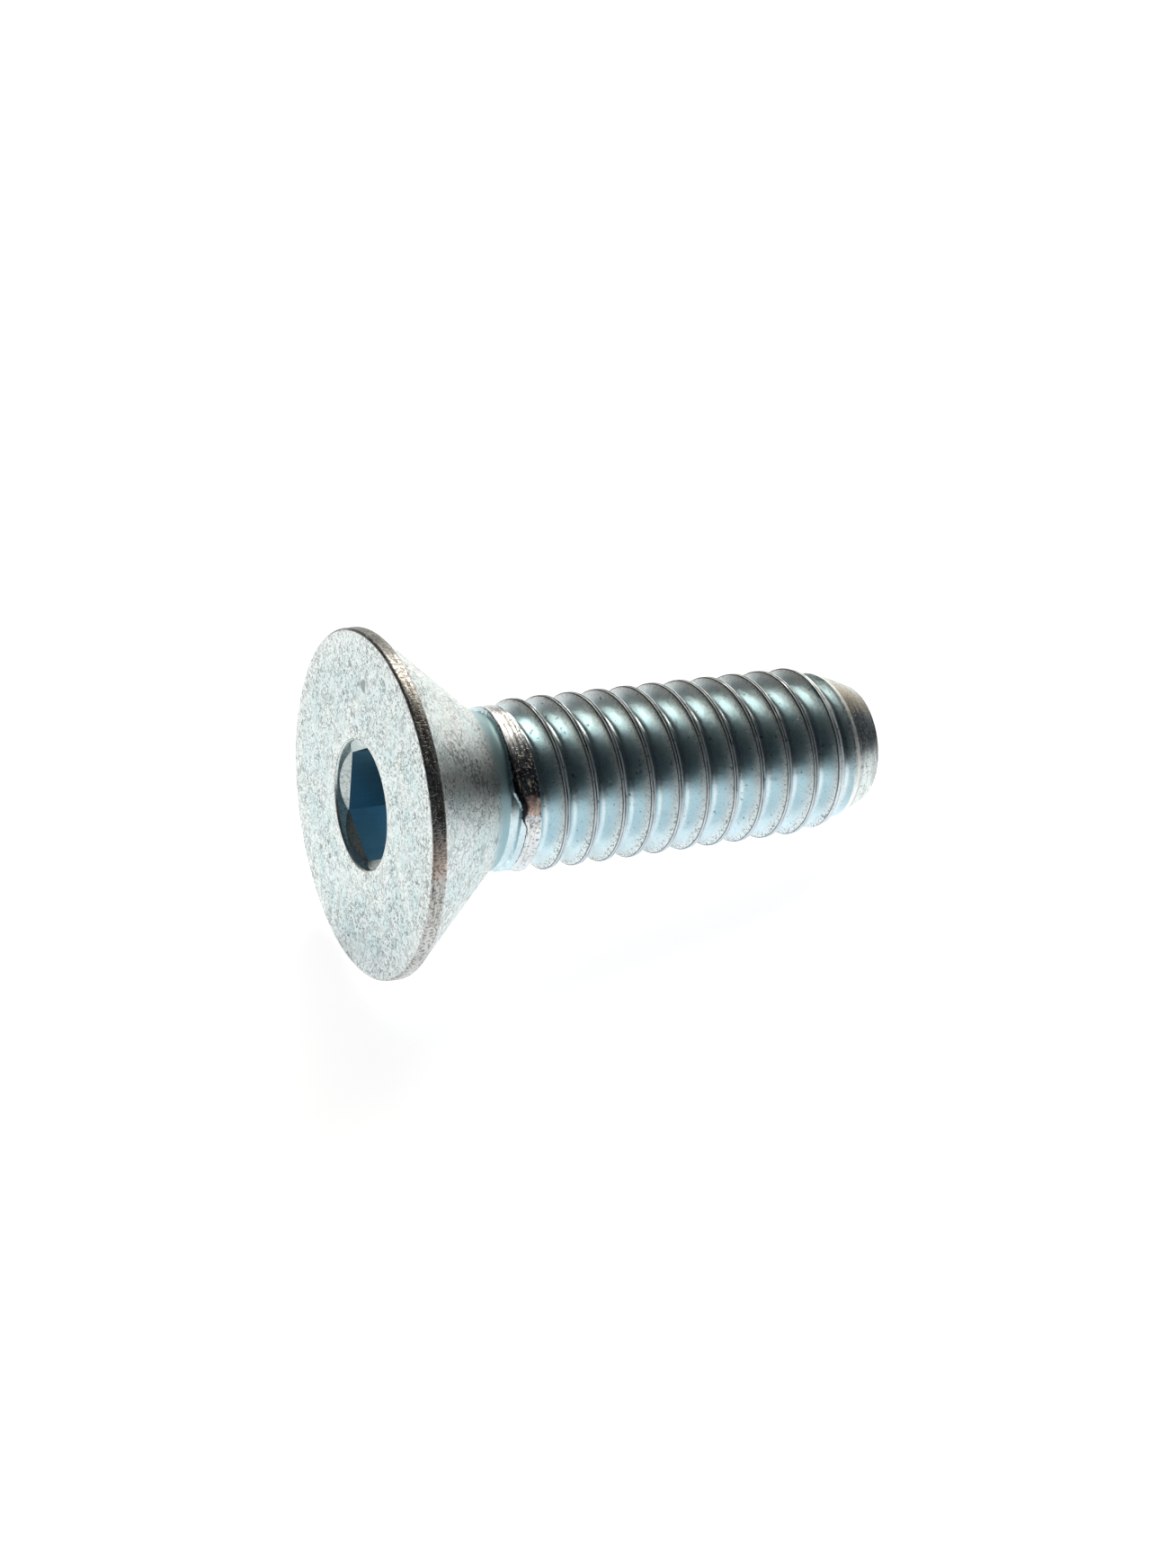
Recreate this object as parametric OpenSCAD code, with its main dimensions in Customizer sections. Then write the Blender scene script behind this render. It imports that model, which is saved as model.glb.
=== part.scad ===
// Hexagon socket flat countersunk head screw, 5/16-18 UNC x 1 in, fully threaded.
// It lies on its side, on the rim of its head and the last full crest of its thread.
// The head is at -X, the point at +X, and the floor is z = 0.

/* [Head] */
// Diameter over the rim of the head
head_d = 15.3; // [14.6:0.05:16.4]
// Height of the land on the rim
land_h = 0.58; // [0.3:0.02:0.9]
// Lean of the land, which widens from the face to the rim
land_lean = 5; // [0:1:14]
// Radius between the flat face and the land
face_round = 0.13; // [0.05:0.01:0.25]
// Broken edge between the land and the cone
land_break = 0.08; // [0.04:0.01:0.15]
// Included angle of the countersunk seat
head_angle = 82; // [80:1:90]
// Diameter of the short plain neck under the cone
neck_d = 7.0; // [6.8:0.02:7.2]
// Radius between the cone and the neck
neck_fillet = 1.15; // [0.4:0.05:1.4]
// Length of the plain neck between that radius and the thread
neck_len = 0.27; // [0.2:0.01:0.6]

/* [Socket] */
// Width of the hexagon across its flats
socket_af = 4.8; // [4.6:0.02:5]
// Depth of the hexagon's straight walls, from the face
socket_depth = 2.9; // [2.4:0.1:3.2]
// Diameter of the round mouth
mouth_d = 5.64; // [5.6:0.02:6]
// Depth of the mouth's round wall at the middle of a flat
mouth_wall = 0.21; // [0.1:0.01:0.4]
// Broken edge between the face and the mouth
mouth_break = 0.08; // [0.02:0.01:0.15]
// Included angle between opposite lead-in facets
mouth_angle = 100; // [90:5:130]
// Included angle of the hollow at the bottom of the socket
bottom_angle = 124; // [110:2:150]
// Turn of the hexagon about the screw's axis
socket_turn = 51.5; // [0:0.5:60]

/* [Thread] */
// Diameter over the crests
thread_d = 7.75; // [7.69:0.01:7.9]
// Diameter at the roots
root_d = 6.18; // [6:0.02:6.4]
// Distance from one crest to the next, at 18 threads to the inch
pitch = 1.4111; // [1.27:0.0001:1.4111]
// Width of the flat on a crest
crest_flat = 0.2; // [0.1:0.02:0.26]
// Included angle between the two flanks of a groove
thread_angle = 60; // [58:1:62]
// Length from the face to the point
length = 24.86; // [24:0.02:25.4]
// Length over which a crest comes up to its full height
crest_rise = 1.6; // [1:0.1:2]
// Length over which a root comes down to its full depth
root_fall = 2.1; // [1:0.1:2.6]
// Distance from the face to a crest on the side that lies on the floor
crest_z = 8.494; // [7.8:0.002:9.2]
// Sides of the thread's outline, seen along its axis
thread_sides = 48; // [24:4:60]

/* [Point] */
// Length of the tapered point
point_len = 3.16; // [2.4:0.02:3.6]
// Diameter of the flat end
point_d = 5.56; // [5:0.02:6]
// How far the taper bulges over a straight cone
point_bulge = 0.1; // [0:0.01:0.16]
// Length at the flat end that the rolling leaves plain
end_land = 1.0; // [0.6:0.1:1.4]
// Length over which the last groove comes up to that plain land
end_rise = 0.7; // [0.4:0.1:1]

/* [Hidden] */
$fn = 96;

rim_r = head_d / 2;
seat_z = land_h - land_break;
// Section of the radius between the face and the land
face_mid_r = rim_r - (seat_z - face_round) * tan(land_lean) - face_round / cos(land_lean);
face_steps = 4;
face_edge = [
    for (s = [0 : face_steps])
        let (a = 90 + (land_lean - 90) * s / face_steps)
        [face_mid_r + face_round * cos(a), face_round * (1 - sin(a))]
];
neck_r = neck_d / 2;
half_angle = head_angle / 2;
cone_end = land_h + (rim_r - neck_r) / tan(half_angle);
fillet_run = neck_fillet * tan(half_angle / 2);
neck_end = cone_end + fillet_run + neck_len;
fillet_steps = 6;

crest_r = thread_d / 2;
root_r = root_d / 2;
blank_step = 0.06;
blank_r = neck_r - blank_step;
// The crests begin to rise a little before the end of the neck, and the roots fall a little after it
crest_lead = 0.15;
root_lag = 0.15;
runout_z = neck_end - crest_lead;
flank_run = (crest_r - root_r) * tan(thread_angle / 2);
// The shank starts inside the cone, where the blank is hidden
shank_start = cone_end - neck_fillet / 2;
taper_start = length - point_len;
end_start = length - end_land - end_rise;
point_r = point_d / 2;

// One turn of the profile: distance along the axis from the middle of a crest, and 1 on a crest or 0 in a root
row_at = [-crest_flat / 2, crest_flat / 2, crest_flat / 2 + flank_run, pitch - crest_flat / 2 - flank_run];
row_up = [1, 1, 0, 0];
rows_turn = len(row_at);
first_crest = crest_z - pitch * ceil((crest_z - shank_start) / pitch + 1.5);
turns = ceil((length - first_crest) / pitch) + 1;
rows = turns * rows_turn;

// How far a cut passes the face that it starts from
cut_over = 1;

// The screw leans from the rim of its head down to the crests that it rests on
lie_tilt = min([
    for (k = [0 : turns], edge = [-crest_flat / 2, crest_flat / 2])
        let (z = first_crest + k * pitch + edge)
        if (z > runout_z + crest_rise && z < length) atan((rim_r - envelope(z)) / (z - seat_z))
]);
rest_h = rim_r * cos(lie_tilt) + seat_z * sin(lie_tilt);
x_low = min([for (corner = face_edge) corner[1] * cos(lie_tilt) - corner[0] * sin(lie_tilt)]);
x_high = length * cos(lie_tilt) + point_r * sin(lie_tilt);

function clamp01(t) = min(1, max(0, t));

// Greatest radius at a distance from the face: crests, then the bulged taper of the point
function envelope(z) =
    let (t = clamp01((z - taper_start) / point_len))
    crest_r - (crest_r - point_r) * t + 4 * point_bulge * t * (1 - t);

// Radius of a crest or a root, with the run-out at the neck, the taper at the point and its plain end
function thread_radius(z, up) =
    let (
        crest = blank_r + (crest_r - blank_r) * clamp01((z - runout_z) / crest_rise),
        groove = blank_r + (root_r - blank_r) * clamp01((z - neck_end - root_lag) / root_fall),
        root = groove + (crest_r - groove) * clamp01((z - end_start) / end_rise)
    )
    min(envelope(z), up * crest + (1 - up) * root);

// Distance from the face of row j in column i, before it is held between the two ends
function row_z(i, j) =
    first_crest + pitch * (floor(j / rows_turn) + i / thread_sides) + row_at[j % rows_turn];

// A row past an end falls on that end's ring
function row_index(i, j) =
    i == thread_sides ? row_index(0, j + rows_turn)
    : row_z(i, j) <= shank_start ? i
    : row_z(i, j) >= length ? thread_sides + i
    : 2 * thread_sides + i * rows + j;

function ring(radius, z) = [
    for (i = [0 : thread_sides - 1])
        [radius * cos(360 * i / thread_sides), radius * sin(360 * i / thread_sides), z]
];

function sound(tri) = tri[0] != tri[1] && tri[1] != tri[2] && tri[2] != tri[0];

// Blank of the head: flat face, land, cone, fillet and neck, turned about its axis
module head_blank() {
    fillet = [
        for (s = [0 : fillet_steps])
            let (a = half_angle * (1 - s / fillet_steps))
            [neck_r + neck_fillet * (1 - cos(a)), cone_end + fillet_run - neck_fillet * sin(a)]
    ];
    rotate_extrude()
        polygon(concat(
            [[0, 0]],
            face_edge,
            [[rim_r, seat_z], [rim_r - land_break * tan(half_angle), land_h + land_break]],
            fillet,
            [[neck_r, neck_end], [0, neck_end]]
        ));
}

// Hollow of the socket: round mouth, one lead-in facet to each wall, hexagon and a shallow conical bottom
module socket_hollow() {
    flat_r = socket_af / 2;
    corner_r = flat_r / cos(30);
    mouth_r = mouth_d / 2;
    lead_slope = tan(mouth_angle / 2);
    lead_end = mouth_wall + (mouth_r - flat_r) / lead_slope;
    lead_top_r = mouth_r + (mouth_wall + cut_over) * lead_slope;
    bottom_slope = 1 / tan(bottom_angle / 2);
    // Hexagon, closed by a cone that its corners just reach
    intersection() {
        rotate([0, 0, socket_turn])
            translate([0, 0, -cut_over])
                cylinder(h = socket_depth + corner_r * bottom_slope + cut_over, r = corner_r, $fn = 6);
        rotate_extrude()
            polygon([
                [0, -cut_over],
                [corner_r + cut_over, -cut_over],
                [corner_r + cut_over, socket_depth - cut_over * bottom_slope],
                [0, socket_depth + corner_r * bottom_slope]
            ]);
    }
    // Round mouth, which cuts the hexagonal taper of the lead-in
    intersection() {
        translate([0, 0, -cut_over])
            cylinder(h = lead_end + cut_over, r = mouth_r);
        rotate([0, 0, socket_turn])
            translate([0, 0, -cut_over])
                cylinder(h = lead_end + cut_over, r1 = lead_top_r / cos(30), r2 = corner_r, $fn = 6);
    }
    translate([0, 0, -cut_over])
        cylinder(h = mouth_break + cut_over, r1 = mouth_r + mouth_break + cut_over, r2 = mouth_r);
}

// Shank with its helical thread, from inside the neck to the flat end
module threaded_shank() {
    grid = [
        for (i = [0 : thread_sides - 1], j = [0 : rows - 1])
            let (
                z = min(length, max(shank_start, row_z(i, j))),
                r = thread_radius(z, row_up[j % rows_turn]),
                a = 360 * i / thread_sides
            )
            [r * cos(a), r * sin(a), z]
    ];
    walls = [
        for (i = [0 : thread_sides - 1], j = [0 : rows - 2])
            let (
                a = row_index(i, j),
                b = row_index(i + 1, j),
                c = row_index(i + 1, j + 1),
                d = row_index(i, j + 1)
            )
            each [[a, d, c], [a, c, b]]
    ];
    caps = [
        [for (i = [0 : thread_sides - 1]) i],
        [for (i = [0 : thread_sides - 1]) 2 * thread_sides - 1 - i]
    ];
    polyhedron(
        points = concat(ring(blank_r, shank_start), ring(point_r, length), grid),
        faces = concat(caps, [for (tri = walls) if (sound(tri)) tri])
    );
}

module flat_head_screw() {
    color([0.80, 0.85, 0.87])
        translate([-(x_low + x_high) / 2, 0, rest_h])
            rotate([0, 90 + lie_tilt, 0])
                union() {
                    difference() {
                        head_blank();
                        socket_hollow();
                    }
                    threaded_shank();
                }
}

flat_head_screw();
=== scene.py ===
"""Zinc-plated hexagon socket countersunk screw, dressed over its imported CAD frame.

Sizes of the screw are in millimetres in its own frame: z runs from the face of the head to the
point, x points at the floor, and angles turn right-handed about z from x. Lie.matrix() takes that
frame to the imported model's frame, which is in metres, as the studio's sizes are.
"""

import logging
import math
from dataclasses import dataclass, field
from enum import Enum
from typing import Protocol

import bmesh
import bpy
from bmesh.types import BMEdge, BMesh, BMVert
from bpy.types import Material, Node, NodeSocket, NodeTree, Object
from mathutils import Matrix, Vector, noise

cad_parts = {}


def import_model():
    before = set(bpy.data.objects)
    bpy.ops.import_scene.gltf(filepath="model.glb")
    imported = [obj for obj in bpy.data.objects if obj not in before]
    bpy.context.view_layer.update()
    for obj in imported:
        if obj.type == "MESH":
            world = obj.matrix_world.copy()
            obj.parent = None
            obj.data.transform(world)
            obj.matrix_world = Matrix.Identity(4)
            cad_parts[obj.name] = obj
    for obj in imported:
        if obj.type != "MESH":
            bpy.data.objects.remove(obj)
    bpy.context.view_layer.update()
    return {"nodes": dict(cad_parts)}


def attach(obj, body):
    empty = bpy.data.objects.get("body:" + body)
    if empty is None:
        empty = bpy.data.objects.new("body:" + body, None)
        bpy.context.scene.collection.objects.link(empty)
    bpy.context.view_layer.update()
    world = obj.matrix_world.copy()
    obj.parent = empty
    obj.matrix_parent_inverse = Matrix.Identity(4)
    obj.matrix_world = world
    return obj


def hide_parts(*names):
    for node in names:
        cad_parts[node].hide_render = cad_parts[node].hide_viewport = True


log = logging.getLogger("screw")

Colour = tuple[float, float, float, float]
Place = tuple[float, float, float]
Point = tuple[float, float]
Span = tuple[float, float]

# Metres in a millimetre
MM = 0.001
# Distance in millimetres within which two vertices are one
MERGE = 0.0005
WHITE = (1.0, 1.0, 1.0, 1.0)
# Results of a change that goes from full to nothing
FALLING = (1.0, 0.0)


class Region(Enum):
    """Finishes of the screw, numbered as its material slots."""

    FACE = 0
    RIM = 1
    CONE = 2
    SOCKET = 3
    RUNOUT = 4
    FLANK = 5
    CREST = 6
    POINT = 7
    LEAD = 8
    END = 9


class Sum(Enum):
    """Sums that a math node can do."""

    ADD = "ADD"
    LESS = "SUBTRACT"
    TIMES = "MULTIPLY"
    MOST = "MAXIMUM"
    POWER = "POWER"
    ROOT = "SQRT"
    SIZE = "ABSOLUTE"


def clamp(t: float) -> float:
    """Hold t between 0 and 1."""
    return min(1.0, max(0.0, t))


def smooth(t: float) -> float:
    """Give the smooth step of t, held between 0 and 1."""
    t = clamp(t)
    return t * t * (3.0 - 2.0 * t)


def step(value: float, span: Span) -> float:
    """Give a smooth step that rises from the span's start over the span's run."""
    return smooth((value - span[0]) / span[1])


def turn_of(co: Vector) -> float:
    """Give the angle of a point about the screw's axis, from 0 to 360 degrees."""
    return math.degrees(math.atan2(co.y, co.x)) % 360.0


def radius_of(co: Vector) -> float:
    """Give the distance of a point from the screw's axis."""
    return math.hypot(co.x, co.y)


def near_turn(middle: Vector, co: Vector) -> float:
    """Give the angle of a point in degrees, counted on from that of a near point."""
    base = turn_of(middle)
    return base + (turn_of(co) - base + 180.0) % 360.0 - 180.0


def on_ring(vert: BMVert, radius: float, z: float) -> bool:
    """Tell whether a vertex lies on the ring with this radius and distance from the face."""
    return abs(vert.co.z - z) < MERGE and abs(radius_of(vert.co) - radius) < MERGE


def set_radius(co: Vector, radius: float) -> None:
    """Move a point to this distance from the screw's axis.

    Args:
        co: The point, moved in place.
        radius: The new distance in millimetres.
    """
    scale = radius / max(radius_of(co), 1e-9)
    co.x *= scale
    co.y *= scale


def wire(bm: BMesh, points: list[Point], turn: float) -> list[BMVert | BMEdge]:
    """Draw a half section of a turned form.

    Args:
        bm: The mesh that takes the wire.
        points: Radius and height of each corner, in order.
        turn: Angle in degrees at which the section stands.

    Returns:
        The new vertices and edges.
    """
    c, s = math.cos(math.radians(turn)), math.sin(math.radians(turn))
    verts = [bm.verts.new((r * c, r * s, z)) for r, z in points]
    edges = [bm.edges.new(pair) for pair in zip(verts, verts[1:])]
    return verts + edges


@dataclass(frozen=True)
class Lie:
    """How the screw lies on the floor: on the rim of its head and the crests near its point."""

    tilt: float = 10.2471
    rest_height: float = 7.61693
    middle: float = 11.81304

    def turn(self) -> Matrix:
        """Give the rotation from the screw's frame to the floor's frame."""
        return Matrix.Rotation(math.radians(90.0 + self.tilt), 4, "Y")

    def shift(self) -> Vector:
        """Give the place of the face's centre in the floor's frame, in millimetres."""
        return Vector((-self.middle, 0.0, self.rest_height))

    def matrix(self) -> Matrix:
        """Give the matrix from the screw's frame in millimetres to the model's in metres."""
        return Matrix.Scale(MM, 4) @ Matrix.Translation(self.shift()) @ self.turn()


@dataclass
class Socket:
    """Hexagon socket with a round mouth and a flat lead-in facet over each wall."""

    across_flats: float = 4.8
    depth: float = 2.9
    mouth_r: float = 2.82
    mouth_round: float = 0.12
    lead_top: float = 0.21
    lead_end: float = 0.56
    bottom_angle: float = 124.0
    bottom_ring: float = 0.5
    turn: float = 51.5
    wall_rows: int = 5

    def flat_r(self) -> float:
        """Give the distance from the axis to a wall."""
        return self.across_flats / 2.0

    def off_middle(self, turn: float) -> float:
        """Give the angle from the middle of the nearest wall, in radians."""
        return math.radians((turn - self.turn) % 60.0 - 30.0)

    def wall_r(self, turn: float) -> float:
        """Give the distance from the axis to the hexagon at an angle in degrees."""
        return self.flat_r() / math.cos(self.off_middle(turn))

    def mouth_z(self, turn: float) -> float:
        """Give the depth at which the mouth's round wall meets a lead-in facet.

        Args:
            turn: Angle about the axis in degrees.

        Returns:
            The depth in millimetres.
        """
        reach = self.mouth_r * math.cos(self.off_middle(turn))
        share = (self.mouth_r - reach) / (self.mouth_r - self.flat_r())
        return self.lead_top + (self.lead_end - self.lead_top) * share

    def bottom_z(self, radius: float) -> float:
        """Give the depth of the conical bottom at a radius."""
        corner = self.across_flats / math.sqrt(3.0)
        return self.depth + (corner - radius) / math.tan(math.radians(self.bottom_angle / 2.0))

    def outline(self) -> list[Point]:
        """Give the half section from the bottom to the edge of the mouth.

        Returns:
            Radius and depth of each corner, with the hexagon drawn at its flats.
        """
        flat = self.flat_r()
        points = [(r, self.bottom_z(r)) for r in (0.0, flat * self.bottom_ring)]
        for row in range(self.wall_rows, -1, -1):
            points.append((flat, self.lead_end + (self.depth - self.lead_end) * row / self.wall_rows))
        points += [(self.mouth_r, self.lead_top), (self.mouth_r, 0.0)]
        return points

    def shape(self, verts: list[BMVert]) -> None:
        """Press the round rows of the wall out to the hexagon and slope the lead-in.

        Args:
            verts: Vertices of the turned head, of which only the socket's move.
        """
        for vert in verts:
            r, turn = radius_of(vert.co), turn_of(vert.co)
            if abs(r - self.flat_r()) < MERGE and vert.co.z > self.lead_end - MERGE:
                set_radius(vert.co, self.wall_r(turn))
            elif on_ring(vert, self.mouth_r, self.lead_top):
                vert.co.z = self.mouth_z(turn)


@dataclass
class Head:
    """Countersunk head: flat face, land on the rim, cone and the radius under it.

    The last four fields say where one finish gives way to the next.
    """

    socket: Socket = field(default_factory=Socket)
    rim_r: float = 7.65
    land_h: float = 0.58
    land_lean: float = 1.5
    land_round: float = 0.06
    face_round: float = 0.13
    face_steps: int = 6
    edge_steps: int = 5
    cone_angle: float = 82.0
    neck_r: float = 3.42
    fillet_r: float = 2.2
    join_z: float = 4.65
    sides: int = 192
    face_rings: tuple[float, ...] = (3.4, 4.4, 5.4, 6.4, 7.2)
    cone_rows: int = 8
    face_depth: float = 0.008
    lead_slack: float = 0.01
    mouth_share: float = 0.5
    land_share: float = 0.7

    def face_r(self) -> float:
        """Give the radius at which the flat face would meet the leaning land."""
        return self.rim_r - self.land_h * math.tan(math.radians(self.land_lean))

    def half(self) -> float:
        """Give the angle between the cone and the axis, in radians."""
        return math.radians(self.cone_angle / 2.0)

    def fillet_end(self) -> float:
        """Give the distance from the face at which the radius runs into the neck."""
        cone_end = self.land_h + (self.rim_r - self.neck_r) / math.tan(self.half())
        return cone_end + self.fillet_r * math.tan(self.half() / 2.0)

    def neck_radius(self, z: float) -> float:
        """Give the radius of the neck, and of the fillet and the cone above it.

        Args:
            z: Distance from the face.

        Returns:
            The radius in millimetres.
        """
        rise = max(0.0, self.fillet_end() - z)
        if rise > self.fillet_r * math.sin(self.half()):
            return self.rim_r - (z - self.land_h) * math.tan(self.half())
        return self.neck_r + self.fillet_r - math.sqrt(max(0.0, self.fillet_r**2 - rise**2))

    def outline(self) -> list[Point]:
        """Give the half section from the mouth's edge to the ring that joins the thread.

        Returns:
            Radius and distance from the face of each corner.
        """
        points = [(r, 0.0) for r in (*self.face_rings, self.face_r())]
        for row in range(self.cone_rows + 1):
            z = self.land_h + (self.join_z - self.land_h) * row / self.cone_rows
            points.append((self.neck_radius(z), z))
        return points

    def build(self, bm: BMesh) -> None:
        """Turn the head and its socket into the mesh.

        Args:
            bm: The mesh of the screw.
        """
        old = set(bm.verts)
        section = wire(bm, self.socket.outline() + self.outline(), self.socket.turn)
        bmesh.ops.spin(
            bm,
            geom=section,
            axis=(0, 0, 1),
            cent=(0, 0, 0),
            angle=2 * math.pi,
            steps=self.sides,
            use_merge=True,
        )
        new = [v for v in bm.verts if v not in old]
        bmesh.ops.remove_doubles(bm, verts=new, dist=MERGE)
        self.socket.shape([v for v in bm.verts if v not in old])
        self.round_edge(bm, (self.socket.mouth_r, 0.0), self.socket.mouth_round, self.edge_steps)
        self.round_edge(bm, (self.face_r(), 0.0), self.face_round, self.face_steps)
        self.round_edge(bm, (self.rim_r, self.land_h), self.land_round, self.edge_steps)

    def round_edge(self, bm: BMesh, corner: Point, offset: float, steps: int) -> None:
        """Round one ring of edges.

        Args:
            bm: The mesh of the screw.
            corner: Radius of the ring and its distance from the face.
            offset: How far the rounding reaches along each side.
            steps: Rows of faces on the rounding.
        """
        ring = [e for e in bm.edges if all(on_ring(v, *corner) for v in e.verts)]
        bmesh.ops.bevel(
            bm,
            geom=ring,
            offset=offset,
            affect="EDGES",
            segments=steps,
            profile=0.5,
            material=-1,
            clamp_overlap=True,
        )

    def region(self, co: Vector) -> Region:
        """Name the finish at a point of the head.

        Args:
            co: Middle of a face.

        Returns:
            Its region.
        """
        mouth = self.socket.mouth_r + self.socket.mouth_round * self.mouth_share
        if radius_of(co) < mouth and co.z > self.lead_slack:
            return Region.LEAD if co.z < self.socket.lead_end - self.lead_slack else Region.SOCKET
        if co.z < self.face_depth:
            return Region.FACE
        if co.z < self.land_h + self.land_round * self.land_share:
            return Region.RIM
        return Region.CONE

    def rolled(self, middle: Vector, co: Vector) -> Vector:
        """Give the way round the rim and the distance from the face, for a corner of a face."""
        return Vector((self.rim_r * math.radians(near_turn(middle, co)), co.z, 0.0))


@dataclass
class Thread:
    """Rolled helical thread with its run-out under the head and its tapered point.

    A field that ends in turns is a start and a run in degrees about the axis. The run-out has a
    smooth strip, then a shoulder up to a land whose scuffed surface begins with a black line of
    painted shade at the step, widened into a pocket over some turns.
    """

    head: Head
    crest_r: float = 3.872
    pitch: float = 25.4 / 18
    crest_z: float = 8.494
    flank: float = 30.0
    crest_half: float = 0.1
    root_round: float = 0.22
    start_z: float = 4.75
    length: float = 24.86
    steps: int = 128
    turns: int = 17
    first: int = -4
    last_crest: int = 10

    # Rows of the profile: shares of the root's arc, distances from the crest's middle, and the lips
    root_shares: tuple[float, ...] = (0.0, 0.25, 0.5, 0.75)
    flank_rows: tuple[float, ...] = (0.5, 0.4, 0.3, 0.2)
    crest_foot: float = 0.035
    lip_edge: Point = (0.016, 0.004)
    lip_top: float = 0.04
    lip_inner: Point = (0.012, 0.03)
    seam_depth: float = 0.05

    # Run-out: smooth strip, shoulder, land and the groove that falls behind it
    strip_r: float = 3.57
    strip_z0: float = 5.82
    strip_fall: float = 0.4
    strip_run: float = 0.05
    strip_turns: Span = (160.0, 110.0)
    wrap_turns: Span = (305.0, 55.0)
    shoulder_lift: float = 0.43
    shoulder_run: float = 0.06
    shoulder_turns: Span = (234.0, 18.0)
    scuff_gap: float = 0.03
    scuff_lift: float = 0.34
    scuff_turns: Span = (255.0, 12.0)
    # Painted shade at the step onto the run-out's land: a black line, widened into a pocket over these
    # turns
    shade_pocket_turns: Span = (214.0, 26.0)
    shade_pocket_end_turns: Span = (250.0, 12.0)
    shade_pocket_width: float = 0.36
    step_shade_thick: float = 0.13
    step_shade_thin: float = 0.08
    gutter_gap: Span = (0.1, 0.2)
    gutter_half: float = 0.05
    gutter_depth: float = 0.03
    land_r: float = 3.67
    land_rise: float = 0.205
    rise_z: float = 6.3
    rise_run: float = 1.4
    fall: Span = (5.7, 1.4)
    fall_lift: float = 0.9
    fine_gap: float = 0.1
    fine_top: float = 6.4

    # Point: taper, plain end and the dish in it, as radius and depth
    taper_len: float = 3.16
    point_r: float = 2.78
    point_bulge: float = 0.1
    late_turn: float = 110.0
    late_crest: Span = (0.95, 0.1)
    last_groove: Span = (0.05, 0.1)
    plain_edge: float = -1.0
    end_round: float = 0.12
    end_rows: int = 4
    dish: tuple[Point, ...] = ((2.3, 0.0), (2.1, 0.02), (1.7, 0.09), (1.0, 0.17), (0.25, 0.2))

    # Wear of the crests, as height and bends in a millimetre, and the reach of each finish
    wear: tuple[Point, ...] = ((0.010, 3.1), (0.007, 9.7))
    wear_depth: float = 0.08
    point_reach: float = 0.12
    crest_reach: float = 0.06
    land_slack: float = 0.02

    def slope(self) -> float:
        """Give the tangent of the angle between a flank and the plane across the axis."""
        return math.tan(math.radians(self.flank))

    def sharp_r(self) -> float:
        """Give the radius at which the two flanks of a groove would meet."""
        return self.crest_r - (self.pitch / 2.0 - self.crest_half) / self.slope()

    def outline(self) -> list[Point]:
        """Give one turn of the profile, from the middle of a root to the next.

        Returns:
            Radius and distance from the middle of the crest of each corner.
        """
        half = self.pitch / 2.0
        side: list[Point] = []
        for share in self.root_shares:
            lean = math.radians(90.0 - self.flank) * share
            arc_r = self.sharp_r() + self.root_round * (2.0 - math.cos(lean))
            side.append((arc_r, half - self.root_round * math.sin(lean)))
        for at in (*self.flank_rows, self.crest_half + self.crest_foot):
            side.append((self.crest_r - (at - self.crest_half) / self.slope(), at))
        side.append((self.crest_r - self.lip_edge[0], self.crest_half - self.lip_edge[1]))
        side.append((self.crest_r, self.crest_half - self.lip_top))
        side.append((self.crest_r - self.lip_inner[0], self.lip_inner[1]))
        left = [(r, -at) for r, at in side]
        return left + [(self.crest_r - self.seam_depth, 0.0)] + side[::-1]

    def envelope(self, z: float) -> float:
        """Give the greatest radius at a distance from the face, with the taper of the point."""
        t = clamp((z - self.length + self.taper_len) / self.taper_len)
        return self.crest_r - (self.crest_r - self.point_r) * t + 4.0 * self.point_bulge * t * (1.0 - t)

    def edge_half(self, z: float) -> float:
        """Give half the width of a crest, which grows where the taper cuts the crests down."""
        return self.crest_half + (self.crest_r - self.envelope(z)) * self.slope()

    def strip_z(self, turn: float) -> float:
        """Give the distance from the face at which the rolled surface begins, at an angle."""
        fall = clamp((turn - self.strip_turns[0]) / self.strip_turns[1])
        return self.strip_z0 - self.strip_fall * fall + self.strip_fall * step(turn, self.wrap_turns)

    def shoulder_z(self, turn: float) -> float:
        """Give the distance from the face at which the run-out's land begins, at an angle."""
        lift = step(turn, self.shoulder_turns) * (1.0 - step(turn, self.wrap_turns))
        return self.strip_z(turn) + self.shoulder_lift * lift

    def scuff_z(self, turn: float) -> float:
        """Give the distance from the face at which the land's scuffed surface begins, at an angle."""
        lift = step(turn, self.scuff_turns) * (1.0 - step(turn, self.wrap_turns))
        return self.shoulder_z(turn) + self.scuff_gap + self.scuff_lift * lift

    def step_shade_width(self, turn: float) -> float:
        """Give the width of the black line of painted shade at the start of the run-out's land, at an
        angle, widened into a pocket over some turns.
        """
        pocket = step(turn, self.shade_pocket_turns) * (1.0 - step(turn, self.shade_pocket_end_turns))
        return self.step_shade_thick + self.shade_pocket_width * pocket - self.step_shade_thin * step(turn, self.scuff_turns)

    def land(self, z: float) -> float:
        """Give the radius of the run-out's land at a distance from the face."""
        return self.land_r + self.land_rise * step(z, (self.rise_z, self.rise_run))

    def turns_at(self, co: Vector) -> float:
        """Give the turns of the helix from the counted crest to a point, whole on a crest."""
        return (co.z - self.crest_z) / self.pitch - turn_of(co) / 360.0

    def lifted(self, co: Vector, radius: float) -> float:
        """Lift the groove where the rolling runs out under the head and at the point.

        Args:
            co: The vertex on the even helix.
            radius: Its distance from the axis.

        Returns:
            The distance with the groove lifted.
        """
        start = self.fall_lift * (1.0 - step(co.z, self.fall))
        past = self.turns_at(co) - self.last_crest
        late = max(smooth(turn_of(co) / self.late_turn), step(past, self.late_crest))
        end = (self.crest_r - radius) * step(past, self.last_groove) * late
        return radius + start + end

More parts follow.
